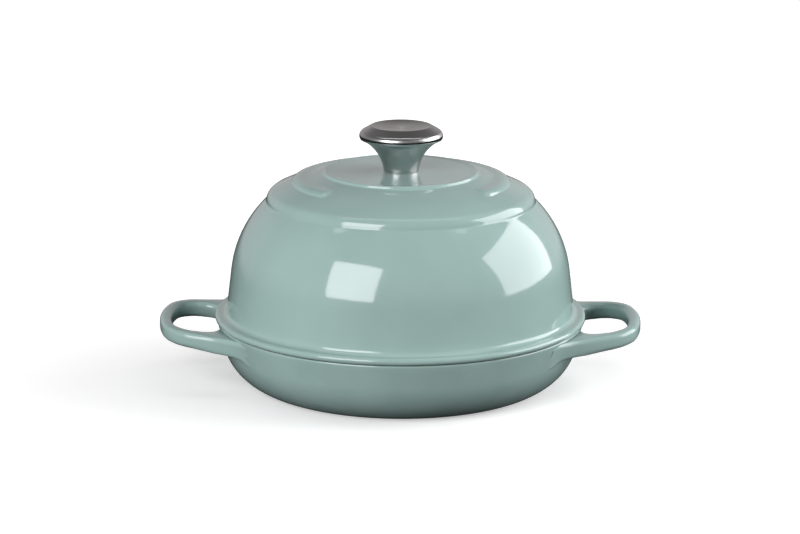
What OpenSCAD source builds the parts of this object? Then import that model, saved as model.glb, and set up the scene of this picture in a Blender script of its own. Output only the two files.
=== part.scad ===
// Domed bread baker in enamelled cast iron: a shallow pan with two loop handles, and a tall dome lid
// that stands on the pan's rim and carries a hollow steel knob.
// Millimetres, +Z up. The origin is the centre of the pan's foot, and the handles point along X.

/* [Pan] */
// Outer radius of the pan at the top of its rim
pan_rim_r = 126.5; // [120:0.5:134]
// Height of the pan's rim above the surface it stands on
pan_h = 45; // [38:1:60]
// Wall thickness of the pan
pan_wall = 4.4; // [3.6:0.1:6]
// Outward lean of the pan's wall from upright, in degrees
pan_lean = 13; // [6:1:18]
// Outer radius of the bend between wall and foot
pan_bend_r = 38.7; // [30:0.1:42]
// Depth of the bend that the flat foot cuts off
foot_cut = 1.8; // [0.5:0.1:4]
// Thickness of the pan's floor
floor_t = 4.6; // [3:0.5:7]
// Inner radius of the bend between floor and wall
well_bend_r = 30; // [20:1:33]
// Radius of the rounding on both edges of the pan's rim
rim_edge_r = 1.5; // [0.8:0.1:2]
// Radius of the shallow recess inside the foot ring
foot_recess_r = 84; // [60:1:90]
// Depth of the recess inside the foot ring
foot_recess_d = 0.8; // [0.4:0.1:1.5]

/* [Floor ridges] */
// Number of raised rings on the pan's floor
ridge_count = 5; // [2:1:6]
// Distance from one ring to the next
ridge_pitch = 15; // [10:1:16]
// Radius of a ring's rounded back
ridge_r = 2.2; // [1.4:0.1:3]
// Height of a ring above the floor
ridge_h = 1.4; // [0.6:0.1:2]

/* [Handles] */
// Distance from the centre to the tip of a handle
handle_reach = 166.2; // [158:0.2:176]
// Half width of a handle where its sides, drawn on, cross the line of the tip
handle_half_w = 40.9; // [38:0.1:46]
// Spread of a handle's sides towards the pan, in degrees
handle_spread = 16.7; // [10:0.1:20]
// Outer radius of the gently curved tip
tip_r = 109; // [90:1:140]
// Outer radius of a handle's corners
corner_r = 30; // [18:1:34]
// Inner radius of a handle's corners
hole_corner_r = 19; // [10:1:22]
// Width of the bar at the tip
tip_w = 8.6; // [7.6:0.1:9.6]
// Width of the bar along the sides
side_w = 10.8; // [9.8:0.1:11.4]
// Height of the bar
bar_h = 11; // [8:0.2:12]
// Radius of the bar's rounded edges
bar_edge_r = 3.6; // [2:0.1:3.7]
// Rise of the handles from the pan to the tip, in degrees
handle_rise = 6; // [0:0.5:8]
// Depth of the bar's top below the pan's rim, where it leaves the wall
handle_drop = 1.5; // [1.2:0.1:6]
// Radius of the outer fillet from the pan's wall into a handle
root_r = 55; // [40:1:70]
// Radius of the fillet between the pan's wall and a handle's inner side
web_r = 14; // [8:0.5:15]
// Depth to which a handle's underside thickens at the pan's wall
gusset_h = 1.5; // [0.5:0.5:8]
// Distance from the wall over which it thickens
gusset_l = 26; // [14:1:34]
// Depth to which the fillets at a handle's root reach into the wall
root_sink = 0.4; // [0.2:0.1:0.8]

/* [Dome] */
// Overhang of the lid's flange beyond the pan's rim
flange_over = 1.5; // [0.5:0.1:5]
// Thickness of the lid's flange
flange_t = 4.8; // [3.6:0.1:6]
// Distance by which the dome's wall stands inside the edge of the pan's rim, at the rim's level
dome_set_in = 5.7; // [4:0.1:6.7]
// Wall thickness of the dome
dome_wall = 3.8; // [3.4:0.1:5]
// Inward lean of the dome's wall from upright, in degrees
dome_lean = 6.8; // [4:0.2:9]
// Outer radius of the dome's shoulder arc
shoulder_r = 78; // [72:0.5:84]
// Height of the shoulder arc's centre above the pan's rim
shoulder_z = 26; // [20:1:32]
// Radius of the hollow fillet between flange and wall
flange_fillet_r = 3.5; // [2:0.5:5]
// Depth to which the register lip reaches into the pan
lip_depth = 4; // [2.5:0.5:6]
// Gap between the register lip and the pan's wall
lip_gap = 1.5; // [1:0.1:2.5]

/* [Crown] */
// Height above the pan's rim at which the step round the crown starts
step_foot_z = 83; // [80:0.5:84]
// Height of the crown's arc above that foot, where the arc is drawn on to the foot's radius
step_h = 5; // [3.5:0.1:6]
// Radius of the crown's arc, seen in section
crown_r = 135; // [120:1:160]
// Thickness of the crown beside the disc
crown_t = 4.4; // [4:0.1:6]
// Height of the crown's arc above the pan's rim, where it reaches the disc
arc_in_z = 102; // [101:0.2:103]
// Width of the crown between the step's foot and the raised flat disc that the knob stands on
crown_w = 39.2; // [38:0.2:46]
// Height of the disc above the pan's rim
disc_z = 103.6; // [103.4:0.2:105]
// Radius of the rounding along the disc's edge
disc_edge_r = 1.2; // [0.6:0.1:1.6]
// Height of that edge above the disc
edge_rise = 0.6; // [0:0.1:1]
// Width of the slope from the edge down to the disc
edge_slope_w = 3.4; // [2:0.2:6]
// Distance from the step's foot in to the crest of the raised ring
ring_set_in = 20.8; // [18:0.2:24]
// Height of that crest above the crown's arc
ring_h = 2; // [1:0.1:2.6]
// Distance from the crest down to the ring's outer foot
ring_out = 3.6; // [3:0.2:6]
// Distance from the crest in to the ring's inner foot
ring_in = 10; // [6:0.5:12]
// Radius of the crest's rounding
ring_edge_r = 1; // [0.5:0.1:1.4]
// Width of the gap in the raised ring at the front, in degrees
ring_gap = 95; // [60:5:140]
// Turn of that gap's middle to the right, in degrees
ring_gap_turn = 3.5; // [-20:0.5:20]

/* [Knob] */
// Radius of the knob's stem where it is narrowest
knob_foot_r = 11.7; // [11:0.1:14]
// Radius of the hollow flare of the knob's stem, seen in section
flare_r = 28.6; // [27:0.2:31]
// Depth of that flare's centre below the disc
flare_drop = 3.3; // [2:0.1:4]
// Height of the stem above the disc
stem_h = 22; // [20:0.1:22.4]
// Greatest radius of the knob
knob_r = 28.7; // [26:0.1:31]
// Radius of the rounded side of the knob's cap
cap_side_r = 4.2; // [3.6:0.1:4.8]
// Height of the knob's widest point above the disc
cap_z = 24.6; // [24.4:0.1:26]
// Slope of the cap's shoulder, in degrees
cap_slope = 30; // [22:1:36]
// Radius of the rim round the hollow in the knob's top
cap_rim_r = 20.2; // [18:0.1:22]
// Radius of that rim's rounding
cap_edge_r = 2; // [1.7:0.1:2.6]
// Depth of the hollow in the knob's top
dish_d = 2.2; // [1.5:0.1:3.2]
// Sheet thickness of the knob's shells
shell_t = 1.3; // [1:0.1:1.6]

/* [Fastening] */
// Diameter of the screw's shank
screw_d = 6; // [5:0.5:8]
// Clearance round the screw in the crown's hole
hole_clear = 0.4; // [0.2:0.1:0.8]
// Running clearance round the screw in the insert's bore
thread_clear = 0.05; // [0.02:0.01:0.1]
// Radius of the screw's head
head_r = 5.6; // [5:0.1:6.6]
// Height of the screw's head
head_h = 3.6; // [3:0.1:5]
// Width of the slot in the screw's head
slot_w = 1.4; // [1:0.1:2]
// Depth of that slot
slot_d = 1.6; // [1:0.1:2]
// Height of the screw's end above the disc
screw_reach = 14; // [10:0.5:15]
// Radius of the plain washer
washer_r = 9; // [7.5:0.1:12]
// Thickness of the plain washer
washer_t = 1.4; // [1:0.1:2]
// Width of the flat land round the plain washer, on the crown's inside
washer_land = 3; // [1:0.5:8]
// Radius of the split lock washer
spring_r = 5.4; // [4.9:0.1:6.4]
// Thickness of the split lock washer
spring_t = 1.6; // [1:0.1:2]
// Width of the split in the lock washer
split_w = 1; // [0.5:0.1:1.5]
// Radius of the insert's boss
boss_r = 6.5; // [5.5:0.1:7.5]
// Height of the insert's boss above the disc
boss_h = 18; // [17:0.5:20]
// Thickness of the insert's flange
boss_flange_t = 2; // [1.5:0.1:3]
// Clearance between the insert's flange and the stem
boss_clear = 0.2; // [0.1:0.05:0.4]

/* [Hidden] */
$fn = 96;

enamel = "#9db7b1";
steel = "#8d908f";

// Overlap that makes two solids one, and overshoot of a cut
sink = 1;
// Depth to which a rounding's circle crosses the faces that it joins, where it would only touch them
bite = 0.1;

// Direction at an angle, in the plane
function heading(a) = [cos(a), sin(a)];

// Centre of a circle of radius r at height z that touches a wall from inside. The wall leans out by
// lean degrees and passes through the point p.
function touching(p, lean, r, z) =
    [(p * [cos(lean), -sin(lean)] - r + z * sin(lean)) / cos(lean), z];

// Centre of the arc of radius r that bulges upwards from p, in, to q
function arc_centre(p, q, r) =
    let (half = (p - q) / 2)
    (p + q) / 2 - sqrt(r * r - half * half) * [-half.y, half.x] / norm(half);

// Height of the arc of radius r round c, at the distance x from the axis
function arc_z(c, r, x) = c.y + sqrt(r * r - pow(x - c.x, 2));

// Point where a line from q comes nearest to c, just inside the circle of radius r round c. The centre
// is on the left of the way there when side is 1, and on the right when it is -1.
function touch_point(q, c, r, side) =
    let (d = norm(c - q), near = r - bite, a = atan2(c.y - q.y, c.x - q.x) - side * asin(near / d))
    q + sqrt(d * d - near * near) * heading(a);

// Point at the distance d beyond q, on the line from p to q
function beyond(p, q, d) = q + d * (q - p) / norm(q - p);

// The solid half plane of a bowl's section: floor at height bottom, a bend of radius r, and a wall that
// leans out by lean degrees and passes through p. The bend is cut off cut below its lowest point.
module bowl_section(p, lean, r, bottom, cut, top) {
    c = touching(p, lean, r, bottom + r - cut);
    t = c + r * heading(-lean);
    intersection() {
        translate([0, bottom]) square([2 * p.x, top - bottom]);
        union() {
            translate(c) circle(r);
            polygon([[0, bottom - cut], [c.x, bottom - cut], c, t,
                     [t.x + (top - t.y) * tan(lean), top], [0, top]]);
        }
    }
}

// Pan

pan_rim = [pan_rim_r, pan_h];
well_rim = pan_rim - [pan_wall / cos(pan_lean), 0];
rim_out_c = touching(pan_rim, pan_lean, rim_edge_r, pan_h - rim_edge_r);
rim_in_c = touching(well_rim, pan_lean, -rim_edge_r, pan_h - rim_edge_r);

// Radius of the pan's outer wall at a height
function pan_r_at(z) = pan_rim_r - (pan_h - z) * tan(pan_lean);

module pan_outside() {
    bowl_section(pan_rim, pan_lean, pan_bend_r, 0, foot_cut, pan_h - rim_edge_r);
}

module pan_inside() {
    bowl_section(well_rim, pan_lean, well_bend_r, floor_t, 0, pan_h + sink);
}

// The rim's flat land between its two rounded edges
module rim_section() {
    for (c = [rim_out_c, rim_in_c]) translate(c) circle(rim_edge_r);
    translate([rim_in_c.x, pan_h - 2 * rim_edge_r])
        square([rim_out_c.x - rim_in_c.x, 2 * rim_edge_r]);
}

module floor_ridges() {
    intersection() {
        for (i = [1:ridge_count])
            translate([i * ridge_pitch, floor_t + ridge_h - ridge_r]) circle(ridge_r);
        translate([0, floor_t - sink]) square([pan_rim_r, ridge_h + 2 * sink]);
    }
}

// Handles. A handle is one bar that leaves the wall, turns two corners and comes back. Its outline in
// plan is an outer and an inner line of as many points each, which run from the wall to the tip.

side_dir = 90 - handle_spread;
side_n = heading(side_dir);
out_dist = side_n * [handle_reach, handle_half_w];
in_dist = out_dist - side_w;
tip_c = [handle_reach - tip_r, 0];
hole_tip_r = tip_r - tip_w;
bar_top = pan_h - handle_drop;
// Steps along the root fillet, a corner, half the tip and a rounded edge of the bar
root_steps = 7;
corner_steps = 6;
tip_steps = 3;
edge_steps = 2;

// Points of an arc round c, from one direction to another
function arc_points(c, r, from, to, steps) =
    [for (i = [0:steps]) c + r * heading(from + (to - from) * i / steps)];

// Direction from the tip's centre to a corner's centre, for a corner of radius r between a tip of
// radius tip and a side at the distance dist
function corner_dir(tip, r, dist) = side_dir - acos((dist - r - side_n * tip_c) / (tip - r));

// Direction of the centre of a fillet of radius r between a wall of radius wall and a side's line. The
// fillet lies beyond the line when beyond is 1, and on the hole's side of it when beyond is -1.
function fillet_dir(wall, r, dist, beyond) = side_dir - acos((dist + beyond * r) / (wall + r));

// One line of the outline, from a wall of radius wall to the middle of the tip. It starts sunk into
// the wall.
function outline(wall, fillet, corner, tip, dist, beyond) =
    let (w = fillet_dir(wall, fillet, dist, beyond), k = corner_dir(tip, corner, dist))
    concat([(wall - pan_wall / 2) * heading(w)],
           arc_points((wall + fillet) * heading(w), fillet, 180 + w,
                      beyond > 0 ? 180 + side_dir : side_dir, root_steps),
           arc_points(tip_c + (tip - corner) * heading(k), corner, side_dir, k, corner_steps),
           arc_points(tip_c, tip, k, 0, tip_steps));

function outer_line(wall) = outline(wall, root_r, corner_r, tip_r, out_dist, 1);
function inner_line(wall) = outline(wall, web_r, hole_corner_r, hole_tip_r, in_dist, -1);

// The bar's top rises outwards from the wall, and its underside thickens towards the wall
function top_z(p) = bar_top + max(0, p.x - pan_rim_r) * tan(handle_rise);
function low_z(p) =
    top_z(p) - bar_h - gusset_h * pow(max(0, 1 - max(0, norm(p) - pan_rim_r) / gusset_l), 2);

// The bar's section in order: at each corner of the bar, whether it lies inside, whether it lies on
// top, and the directions in which its rounding starts and ends
bar_corners = [[0, 0, 90, 0], [0, 1, 0, 90], [1, 1, 90, 0], [1, 0, 0, 90]];

// Ring of points round the bar, from its four lines' points: outer and inner, low and high
function bar_ring(low, high) =
    [for (q = bar_corners, i = [0:edge_steps])
        let (pair = q[1] == 1 ? high : low,
             p = pair[q[0]],
             across = (pair[1 - q[0]] - p) / norm(pair[1] - pair[0]),
             turn = q[2] + (q[3] - q[2]) * i / edge_steps,
             flat = p + bar_edge_r * (1 - cos(turn)) * across,
             z = q[1] == 1 ? top_z(p) - bar_edge_r * (1 - sin(turn))
                           : low_z(p) + bar_edge_r * (1 - sin(turn)))
        [flat.x, flat.y, z]];

function half_bar() =
    let (high_wall = pan_r_at(bar_top) - root_sink,
         low_wall = pan_r_at(bar_top - bar_h - gusset_h) - root_sink,
         high = [outer_line(high_wall), inner_line(high_wall)],
         low = [outer_line(low_wall), inner_line(low_wall)])
    [for (i = [0:len(high[0]) - 1]) bar_ring([low[0][i], low[1][i]], [high[0][i], high[1][i]])];

module handle() {
    half = half_bar();
    last = len(half) - 1;
    rings = concat(half, [for (i = [last - 1:-1:0]) [for (p = half[i]) [p.x, -p.y, p.z]]]);
    n = len(half[0]);
    end = len(rings) - 1;
    skin = [for (i = [0:end - 1], j = [0:n - 1])
        let (k = (j + 1) % n, a = i * n, b = a + n)
        each [[a + j, b + k, a + k], [a + j, b + j, b + k]]];
    caps = [for (j = [1:n - 2]) each [[0, j, j + 1], [end * n, end * n + j + 1, end * n + j]]];
    polyhedron(points = [for (r = rings) each r], faces = concat(skin, caps));
}

module base_pan() {
    color(enamel) union() {
        difference() {
            union() {
                rotate_extrude() pan_outside();
                for (turn = [0, 180]) rotate(turn) handle();
            }
            rotate_extrude() pan_inside();
            translate([0, 0, -sink]) cylinder(r = foot_recess_r, h = foot_recess_d + sink);
        }
        rotate_extrude() rim_section();
        rotate_extrude() floor_ridges();
    }
}

// Dome

seat_z = pan_h;
flange_r = pan_rim_r + flange_over;
dome_foot_r = pan_rim_r - dome_set_in;
disc_top = seat_z + disc_z;
ceiling_z = seat_z + arc_in_z - crown_t;
shoulder_c = touching([dome_foot_r, seat_z], -dome_lean, shoulder_r, seat_z + shoulder_z);
lip_r = pan_r_at(seat_z - lip_depth) - pan_wall / cos(pan_lean) - lip_gap;
step_foot = [shoulder_c.x + sqrt(pow(shoulder_r, 2) - pow(step_foot_z - shoulder_z, 2)),
             seat_z + step_foot_z];
disc_r = step_foot.x - crown_w;
ring_r = step_foot.x - ring_set_in;
crown_c = arc_centre(step_foot + [0, step_h], [disc_r, seat_z + arc_in_z], crown_r);
// The step is a quarter round that rises upright from its foot and touches the crown's arc from inside
step_r = (pow(crown_r, 2) - (step_foot - crown_c) * (step_foot - crown_c))
    / (2 * (crown_r - step_foot.x + crown_c.x));
step_c = step_foot - [step_r, 0];

// The dome's wall and shoulder as a filled outline above the height low, drawn in by inset
module dome_section(inset, low) {
    r = shoulder_r - inset;
    t = shoulder_c + r * heading(dome_lean);
    low_x = dome_foot_r - inset / cos(dome_lean) + (seat_z - low) * tan(dome_lean);
    intersection() {
        translate([0, low]) square([flange_r, crown_r]);
        union() {
            translate(shoulder_c) circle(r);
            polygon([[0, low], [low_x, low], t, shoulder_c, shoulder_c + [0, r],
                     [0, shoulder_c.y + r]]);
        }
    }
}

module flange_section() {
    edge = flange_t / 2;
    top = seat_z + flange_t;
    reach = flange_fillet_r - bite;
    c = [dome_foot_r - (flange_t + reach) * tan(dome_lean) + reach / cos(dome_lean), top + reach];
    t = c - flange_fillet_r * heading(dome_lean);
    translate([0, seat_z]) square([flange_r - edge, flange_t]);
    translate([flange_r - edge, seat_z + edge]) circle(edge);
    difference() {
        polygon([[c.x, top - sink], [c.x, top], c, t, t - [sink, 0], [t.x - sink, top - sink]]);
        translate(c) circle(flange_fillet_r);
    }
}

module crown_section() {
    out = crown_c + 2 * (step_c - crown_c);
    edge_c = [disc_r, disc_top + edge_rise] - disc_edge_r * [1, 1];
    translate(step_c) circle(step_r + bite);
    intersection() {
        translate(crown_c) circle(crown_r);
        polygon([[disc_r, step_c.y], step_c, out, [disc_r, out.y]]);
    }
    translate([0, step_foot.y]) square([disc_r, edge_c.y - step_foot.y]);
    translate(edge_c) circle(disc_edge_r);
    polygon([[0, step_foot.y], [0, disc_top], [edge_c.x - edge_slope_w, disc_top],
             edge_c + [0, disc_edge_r], [edge_c.x, step_foot.y]]);
}

module lid_inside() {
    intersection() {
        dome_section(dome_wall, seat_z - lip_depth - sink);
        union() {
            translate(crown_c) circle(crown_r - crown_t);
            square([washer_r + washer_land, ceiling_z]);
        }
        square([flange_r, ceiling_z]);
    }
}

module lid_outside() {
    intersection() {
        dome_section(0, seat_z);
        square([flange_r, step_foot.y + sink]);
    }
    flange_section();
    crown_section();
    translate([0, seat_z - lip_depth]) square([lip_r, lip_depth + sink]);
}

// Raised ring on the crown, with its crest nearer to its outer foot
module ring_section() {
    out_foot = [ring_r + ring_out, arc_z(crown_c, crown_r, ring_r + ring_out)];
    in_foot = [ring_r - ring_in, arc_z(crown_c, crown_r, ring_r - ring_in)];
    crest_c = [ring_r, arc_z(crown_c, crown_r, ring_r) + ring_h - ring_edge_r];
    out_t = touch_point(out_foot, crest_c, ring_edge_r, 1);
    in_t = touch_point(in_foot, crest_c, ring_edge_r, -1);
    translate(crest_c) circle(ring_edge_r);
    polygon([beyond(out_t, out_foot, 1.5 * sink), out_t, crest_c, in_t,
             beyond(in_t, in_foot, 3 * sink)]);
}

module dome_lid() {
    color(enamel) difference() {
        union() {
            rotate_extrude() difference() {
                lid_outside();
                lid_inside();
            }
            rotate(-90 + ring_gap_turn + ring_gap / 2)
                rotate_extrude(angle = 360 - ring_gap) ring_section();
        }
        translate([0, 0, ceiling_z - sink])
            cylinder(d = screw_d + 2 * hole_clear, h = disc_top - ceiling_z + 2 * sink);
    }
}

// Knob

flare_c = [knob_foot_r + flare_r, disc_top - flare_drop];
cap_foot_z = disc_top + stem_h;
stem_top_r = flare_c.x - sqrt(pow(flare_r, 2) - pow(cap_foot_z - flare_c.y, 2));
cap_c = [knob_r - cap_side_r, disc_top + cap_z];
shoulder_n = heading(90 - cap_slope);
cap_rim_c = [cap_rim_r,
             ((cap_c - [cap_rim_r, 0]) * shoulder_n + cap_side_r - cap_edge_r) / shoulder_n.y];
cap_top = cap_rim_c.y + cap_edge_r;
dish_r = (pow(cap_rim_r, 2) + dish_d * dish_d) / (2 * dish_d);

// Filled outline of the stem, drawn in by inset
module stem_section(inset) {
    difference() {
        translate([0, disc_top]) square([flare_c.x, stem_h]);
        translate(flare_c) circle(flare_r + inset);
    }
}

module knob_stem() {
    color(steel) rotate_extrude() difference() {
        stem_section(0);
        stem_section(shell_t);
    }
}

// Filled outline of the cap above the stem, drawn in by inset. Its shoulder touches the rounded side
// and the rounded rim.
module cap_section(inset) {
    side = cap_side_r - inset;
    rim = cap_edge_r - inset;
    low = cap_foot_z - inset;
    difference() {
        union() {
            translate(cap_c) circle(side);
            translate(cap_rim_c) circle(rim);
            polygon([[0, low], [cap_c.x, low], cap_c, cap_c + (side - bite) * shoulder_n,
                     cap_rim_c + (rim - bite) * shoulder_n, cap_rim_c, cap_rim_c + [0, rim],
                     [0, cap_rim_c.y + rim]]);
        }
        translate([0, cap_top - dish_d + dish_r]) circle(dish_r + inset);
        square([knob_r, low]);
    }
}

module knob_cap() {
    color(steel) rotate_extrude() difference() {
        cap_section(0);
        cap_section(shell_t);
    }
}

module knob_insert() {
    color(steel) difference() {
        union() {
            translate([0, 0, disc_top]) cylinder(r = boss_r, h = boss_h);
            translate([0, 0, disc_top])
                cylinder(r = knob_foot_r - shell_t - boss_clear, h = boss_flange_t);
        }
        translate([0, 0, disc_top - sink])
            cylinder(d = screw_d + 2 * thread_clear, h = screw_reach + 2 * sink);
    }
}

// Fastening under the crown

spring_top = ceiling_z - washer_t;
head_top = spring_top - spring_t;

module ring(outer_r, inner_r, top, t) {
    translate([0, 0, top - t]) difference() {
        cylinder(r = outer_r, h = t);
        translate([0, 0, -sink]) cylinder(r = inner_r, h = t + 2 * sink);
    }
}

module knob_screw() {
    color(steel) difference() {
        union() {
            translate([0, 0, head_top - head_h]) cylinder(r = head_r, h = head_h);
            translate([0, 0, head_top - sink])
                cylinder(d = screw_d, h = disc_top + screw_reach - head_top + sink);
        }
        translate([0, 0, head_top - head_h])
            cube([2 * head_r + sink, slot_w, 2 * slot_d], center = true);
    }
}

module flat_washer() {
    color(steel) ring(washer_r, screw_d / 2 + hole_clear, ceiling_z, washer_t);
}

module spring_washer() {
    color(steel) difference() {
        ring(spring_r, screw_d / 2 + hole_clear / 2, spring_top, spring_t);
        translate([0, -split_w / 2, head_top - sink]) cube([spring_r + sink, split_w, spring_t + 2 * sink]);
    }
}

base_pan();
dome_lid();
knob_stem();
knob_cap();
knob_insert();
knob_screw();
flat_washer();
spring_washer();
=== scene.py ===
"""Looks of a domed bread baker in enamelled cast iron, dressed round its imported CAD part.

Sizes are in millimetres as in the part, and meshes are drawn in metres. Sections are drawn vertex by
vertex in the XZ plane and turned round Z, and the handles are drawn through from section to section.
"""
import logging
import math
from dataclasses import dataclass, field
from enum import Enum
from typing import Callable, Iterable, Sequence

import bpy
from mathutils import Matrix, Vector


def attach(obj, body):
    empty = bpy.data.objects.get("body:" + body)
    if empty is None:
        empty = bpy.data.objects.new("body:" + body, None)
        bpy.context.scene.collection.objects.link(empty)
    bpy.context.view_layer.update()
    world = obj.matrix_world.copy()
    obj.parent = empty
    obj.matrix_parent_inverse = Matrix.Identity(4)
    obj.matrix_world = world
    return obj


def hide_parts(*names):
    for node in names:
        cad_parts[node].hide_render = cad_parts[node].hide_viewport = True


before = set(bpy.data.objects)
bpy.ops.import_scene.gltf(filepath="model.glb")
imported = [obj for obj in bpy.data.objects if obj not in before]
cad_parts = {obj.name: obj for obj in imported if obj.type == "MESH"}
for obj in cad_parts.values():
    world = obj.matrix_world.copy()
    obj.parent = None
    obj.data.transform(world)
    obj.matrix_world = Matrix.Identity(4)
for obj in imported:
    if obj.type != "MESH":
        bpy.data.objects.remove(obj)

log = logging.getLogger("bread_baker")

MM = 0.001
WELD = 0.01 * MM
SHORTEST = 1e-7
SMOOTH_BELOW = 40
Flat = tuple[float, float]
Colour = tuple[float, float, float]
Socket = bpy.types.NodeSocket
FaceTest = Callable[[Vector, Vector], bool]


class Body(Enum):
    """The CAD bodies that the pieces ride on."""

    PAN = "pan"
    SCREW = "screw"
    LID = "lid"


# Plane geometry


def heading(angle: float) -> Flat:
    """Return the unit direction at an angle in degrees."""
    return math.cos(math.radians(angle)), math.sin(math.radians(angle))


def along(start: Flat, direction: Flat, distance: float) -> Flat:
    """Return the point at a distance from start."""
    return start[0] + distance * direction[0], start[1] + distance * direction[1]


def angle_of(centre: Flat, point: Flat) -> float:
    """Return the direction in degrees in which a point is seen from a centre."""
    return math.degrees(math.atan2(point[1] - centre[1], point[0] - centre[0]))


def arc_points(centre: Flat, radius: float, start: float, end: float, steps: int) -> list[Flat]:
    """Return the points of an arc.

    Args:
        centre: Centre of the arc.
        radius: Radius of the arc.
        start: Direction of its first point, in degrees.
        end: Direction of its last point, in degrees.
        steps: Number of chords.

    Returns:
        The points from the first to the last.
    """
    turn = (end - start) / steps
    return [along(centre, heading(start + turn * i), radius) for i in range(steps + 1)]


def touching(point: Flat, lean: float, radius: float, height: float) -> Flat:
    """Return the centre of a circle at a height that touches a leaning wall from inside.

    Args:
        point: A point of the wall.
        lean: Outward lean of the wall in degrees.
        radius: Radius of the circle.
        height: Height of its centre.

    Returns:
        The centre.
    """
    c, s = heading(lean)
    return (point[0] * c - point[1] * s - radius + height * s) / c, height


def circles_cross(a: Flat, ra: float, b: Flat, rb: float) -> Flat:
    """Find where two circles cross.

    Args:
        a: Centre of the first circle.
        ra: Its radius.
        b: Centre of the second circle.
        rb: Its radius.

    Returns:
        The outer one of the two points.
    """
    gap = math.dist(a, b)
    to_b = ((b[0] - a[0]) / gap, (b[1] - a[1]) / gap)
    run = (gap * gap + ra * ra - rb * rb) / (2 * gap)
    rise = math.sqrt(ra * ra - run * run)
    found = [along(along(a, to_b, run), (-k * to_b[1], k * to_b[0]), rise) for k in (-1, 1)]
    return max(found)


# Drawing tools


def deselect() -> None:
    """Leave edit mode and deselect every object."""
    if bpy.context.object and bpy.context.object.mode != "OBJECT":
        bpy.ops.object.mode_set(mode="OBJECT")
    bpy.ops.object.select_all(action="DESELECT")


def activate(piece: bpy.types.Object) -> None:
    """Select one object alone and make it the active one."""
    deselect()
    piece.select_set(True)
    bpy.context.view_layer.objects.active = piece


def settle(piece: bpy.types.Object) -> None:
    """Apply an object's place, turn and scale, so that its place is in its mesh."""
    activate(piece)
    bpy.ops.object.transform_apply(location=True, rotation=True, scale=True)


def take_all() -> None:
    """Select the whole mesh in edit mode."""
    bpy.ops.mesh.select_all(action="SELECT")


class Pen:
    """Draws a section in the XZ plane, vertex by vertex, and turns it round Z."""

    def __init__(self, name: str, start: Flat) -> None:
        """Put down the pen.

        Args:
            name: Name of the piece.
            start: First point of the section, as radius and height in millimetres.
        """
        deselect()
        bpy.ops.mesh.primitive_plane_add(size=MM, location=(0, 0, 0))
        self.piece = bpy.context.object
        self.piece.name = self.piece.data.name = name
        bpy.ops.object.mode_set(mode="EDIT")
        bpy.ops.mesh.select_mode(type="VERT")
        take_all()
        bpy.ops.mesh.merge(type="CENTER")
        take_all()
        bpy.ops.transform.translate(value=(start[0] * MM, 0, start[1] * MM))
        self.at = start

    def line(self, to: Flat, cuts: int = 1) -> "Pen":
        """Draw a straight line.

        Args:
            to: End of the line.
            cuts: Number of equal edges that it is made of.

        Returns:
            The pen.
        """
        step = ((to[0] - self.at[0]) / cuts * MM, 0, (to[1] - self.at[1]) / cuts * MM)
        if math.hypot(step[0], step[2]) < SHORTEST:
            return self
        for _ in range(cuts):
            bpy.ops.mesh.extrude_region_move(TRANSFORM_OT_translate={"value": step})
        self.at = to
        return self

    def through(self, points: Iterable[Flat]) -> "Pen":
        """Draw straight lines through points.

        Args:
            points: The points.

        Returns:
            The pen.
        """
        for point in points:
            self.line(point)
        return self

    def arc(self, centre: Flat, degrees: float, steps: int) -> "Pen":
        """Draw an arc.

        Args:
            centre: Centre of the arc.
            degrees: Angle of the arc, counterclockwise when positive.
            steps: Number of chords.

        Returns:
            The pen.
        """
        bpy.ops.mesh.spin(
            steps=steps,
            angle=math.radians(abs(degrees)),
            center=(centre[0] * MM, 0, centre[1] * MM),
            axis=(0, math.copysign(1, degrees), 0),
        )
        turned = heading(angle_of(centre, self.at) + degrees)
        self.at = along(centre, turned, math.dist(centre, self.at))
        return self

    def corner(self, at: Flat, after: Flat, radius: float, steps: int = 4) -> "Pen":
        """Draw a line towards a corner and round it off.

        Args:
            at: The corner.
            after: A point that the section runs to after the corner.
            radius: Radius of the rounding.
            steps: Number of its chords.

        Returns:
            The pen, at the rounding's end.
        """
        come, leave = angle_of(self.at, at), angle_of(at, after)
        turn = (leave - come + 180) % 360 - 180
        cut = radius * math.tan(math.radians(abs(turn)) / 2)
        start = along(at, heading(come), -cut)
        centre = along(start, heading(come + math.copysign(90, turn)), radius)
        return self.line(start).arc(centre, turn, steps)

    def close(self) -> "Pen":
        """Join the section's end to its start.

        Returns:
            The pen.
        """
        take_all()
        bpy.ops.mesh.remove_doubles(threshold=WELD)
        return self

    def turn(self, segments: int, smooth_below: float = SMOOTH_BELOW) -> bpy.types.Object:
        """Turn the section all the way round Z and finish the mesh.

        Args:
            segments: Number of steps round.
            smooth_below: Edges that turn by fewer degrees than this are shaded smooth.

        Returns:
            The piece.
        """
        take_all()
        bpy.ops.mesh.spin(steps=segments, angle=2 * math.pi, center=(0, 0, 0), axis=(0, 0, 1))
        take_all()
        bpy.ops.mesh.remove_doubles(threshold=WELD)
        bpy.ops.mesh.normals_make_consistent(inside=False)
        settle(self.piece)
        bpy.ops.object.shade_smooth_by_angle(angle=math.radians(smooth_below))
        return self.piece


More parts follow.
